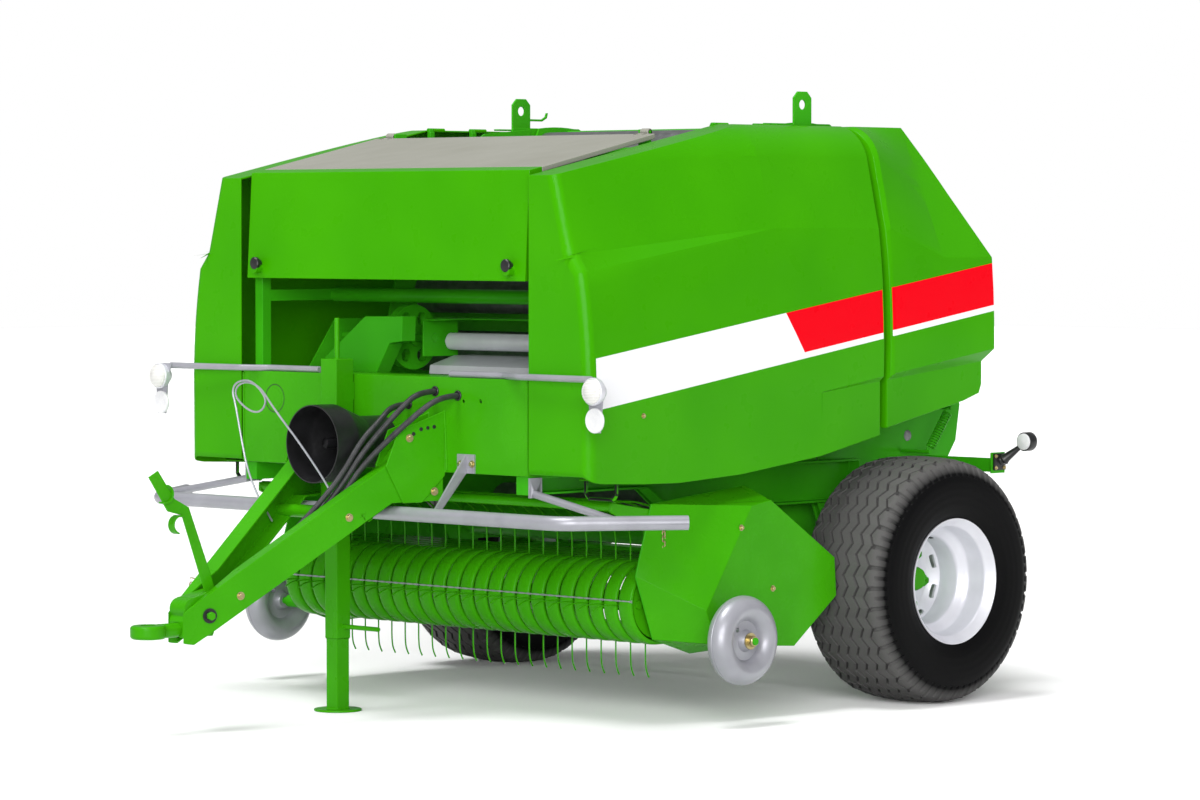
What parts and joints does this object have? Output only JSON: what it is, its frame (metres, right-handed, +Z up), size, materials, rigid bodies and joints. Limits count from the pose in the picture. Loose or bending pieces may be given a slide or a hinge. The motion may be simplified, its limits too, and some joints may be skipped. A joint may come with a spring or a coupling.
{
  "type": "round baler",
  "caption": "Trailed round baler with a fixed roller chamber, tined pickup, lifting tailgate, hinged covers, twin wheels, drawbar with eye, and parking jack.",
  "frame": {"origin": "ground level, middle of the machine's length and width", "axes": "+Z up, -Y towards the towing eye, +X towards the machine's side that is right in the picture"},
  "size_m": [2.5628, 3.395, 2.134],
  "materials": {
    "green_paint": "glossy green paint",
    "chassis_green": "darker green paint",
    "cover_plastic": "glossy moulded green plastic",
    "pale_sheet": "pale warm grey sheet",
    "silver_paint": "silver paint",
    "tyre_rubber": "black rubber",
    "hose_rubber": "black braided hose",
    "black_plastic": "black moulded plastic",
    "lamp_plastic": "clear and red lenses in black housings",
    "black_paint": "black paint",
    "galvanised": "galvanised steel",
    "zinc": "zinc plated steel",
    "bare_steel": "bare steel",
    "roller_steel": "worn ribbed steel",
    "casting_grey": "painted casting",
    "chrome_rod": "polished rod"
  },
  "bodies": {
    "machine": {"axle_beam": "chassis_green", "front_beam": "green_paint", "drawbar": "green_paint", "hitch_head": "green_paint", "towing_eye": "green_paint", "side_frame_right": "chassis_green", "side_frame_left": "chassis_green", "front_rollers": "roller_steel", "feed_rotor": "chassis_green", "top_frame": "chassis_green", "jack_tube": "green_paint", "pto_guard": "black_plastic", "pto_shaft": "bare_steel", "gearbox": "casting_grey", "guard_bar": "galvanised", "front_lamp_arms": "galvanised", "front_lamps": "lamp_plastic", "hose_guide": "galvanised", "hose_1": "hose_rubber", "hose_2": "hose_rubber", "hose_3": "hose_rubber", "hose_couplers": "zinc", "twine_pulley": "chassis_green", "feed_roller": "galvanised", "binder_frame": "chassis_green", "guide_sheet": "galvanised"},
    "wheel_right": {"tyre_right": "tyre_rubber", "rim_right": "silver_paint", "hub_right": "chassis_green"},
    "wheel_left": {"tyre_left": "tyre_rubber", "rim_left": "silver_paint", "hub_left": "chassis_green"},
    "tailgate": {"tailgate_frame": "chassis_green", "tailgate_rollers": "roller_steel", "rear_cover_right": "cover_plastic", "rear_cover_left": "cover_plastic", "rear_lamps": "black_plastic"},
    "lift_barrel_right": {"cylinder_barrel_right": "black_paint"},
    "lift_rod_right": {"cylinder_rod_right": "chrome_rod"},
    "lift_barrel_left": {"cylinder_barrel_left": "black_paint"},
    "lift_rod_left": {"cylinder_rod_left": "chrome_rod"},
    "flap": {"front_flap": "cover_plastic", "top_sheet": "pale_sheet"},
    "cover_right": {"side_cover_right": "cover_plastic"},
    "cover_left": {"side_cover_left": "cover_plastic"},
    "pickup": {"pickup_frame": "chassis_green", "pickup_shield_right": "cover_plastic", "pickup_shield_left": "cover_plastic", "stripper_bands": "green_paint", "wind_guard": "green_paint"},
    "reel": {"pickup_reel": "green_paint"},
    "gauge_right": {"gauge_wheel_right": "silver_paint"},
    "gauge_left": {"gauge_wheel_left": "silver_paint"},
    "jack": {"jack_leg": "green_paint"}
  },
  "joints": [
    {"name": "wheel_right_spin", "type": "hinge", "parent": "machine", "child": "wheel_right", "pos_m": [1.032, 0.9855, 0.43], "axis": [1, 0, 0], "continuous": true},
    {"name": "wheel_left_spin", "type": "hinge", "parent": "machine", "child": "wheel_left", "pos_m": [-1.032, 0.9855, 0.43], "axis": [1, 0, 0], "continuous": true},
    {"name": "pickup_lift", "type": "hinge", "parent": "machine", "child": "pickup", "pos_m": [0, 0.4655, 0.42], "axis": [1, 0, 0], "range_deg": [0, 11.5]},
    {"name": "reel_spin", "type": "hinge", "parent": "pickup", "child": "reel", "pos_m": [0, -0.1445, 0.4], "axis": [1, 0, 0], "continuous": true},
    {"name": "gauge_right_spin", "type": "hinge", "parent": "pickup", "child": "gauge_right", "pos_m": [1.168, -0.0545, 0.289], "axis": [1, 0, 0], "continuous": true},
    {"name": "gauge_left_spin", "type": "hinge", "parent": "pickup", "child": "gauge_left", "pos_m": [-1.168, -0.0545, 0.289], "axis": [1, 0, 0], "continuous": true},
    {"name": "tailgate_lift", "type": "hinge", "parent": "machine", "child": "tailgate", "pos_m": [0, 0.6555, 1.985], "axis": [1, 0, 0], "range_deg": [0, 65]},
    {"name": "lift_barrel_right_pivot", "type": "hinge", "parent": "machine", "child": "lift_barrel_right", "pos_m": [0.664, 0.4855, 1.4], "axis": [1, 0, 0], "range_deg": [0, 19.23]},
    {"name": "lift_rod_right_slide", "type": "slide", "parent": "lift_barrel_right", "child": "lift_rod_right", "axis": [0, 0.7295, 0.6839], "range_m": [0, 0.25514]},
    {"name": "lift_barrel_left_pivot", "type": "hinge", "parent": "machine", "child": "lift_barrel_left", "pos_m": [-0.664, 0.4855, 1.4], "axis": [1, 0, 0], "range_deg": [0, 19.23]},
    {"name": "lift_rod_left_slide", "type": "slide", "parent": "lift_barrel_left", "child": "lift_rod_left", "axis": [0, 0.7295, 0.6839], "range_m": [0, 0.25514]},
    {"name": "flap_hinge", "type": "hinge", "parent": "machine", "child": "flap", "pos_m": [0, 0.0275, 1.984], "axis": [-1, 0, 0], "range_deg": [0, 65]},
    {"name": "cover_right_hinge", "type": "hinge", "parent": "machine", "child": "cover_right", "pos_m": [0.712, 0.3355, 2.012], "axis": [0, -1, 0], "range_deg": [0, 55]},
    {"name": "cover_left_hinge", "type": "hinge", "parent": "machine", "child": "cover_left", "pos_m": [-0.712, 0.3355, 2.012], "axis": [0, 1, 0], "range_deg": [0, 55]},
    {"name": "jack_slide", "type": "slide", "parent": "machine", "child": "jack", "axis": [0, 0, 1], "range_m": [0, 0.3]}
  ],
  "couplings": [
    {"joint": "lift_barrel_right_pivot", "follows": "tailgate_lift", "ratio": 0.29571},
    {"joint": "lift_rod_right_slide", "follows": "tailgate_lift", "m_per_rad": 0.22481},
    {"joint": "lift_barrel_left_pivot", "follows": "tailgate_lift", "ratio": 0.29571},
    {"joint": "lift_rod_left_slide", "follows": "tailgate_lift", "m_per_rad": 0.22481}
  ]
}
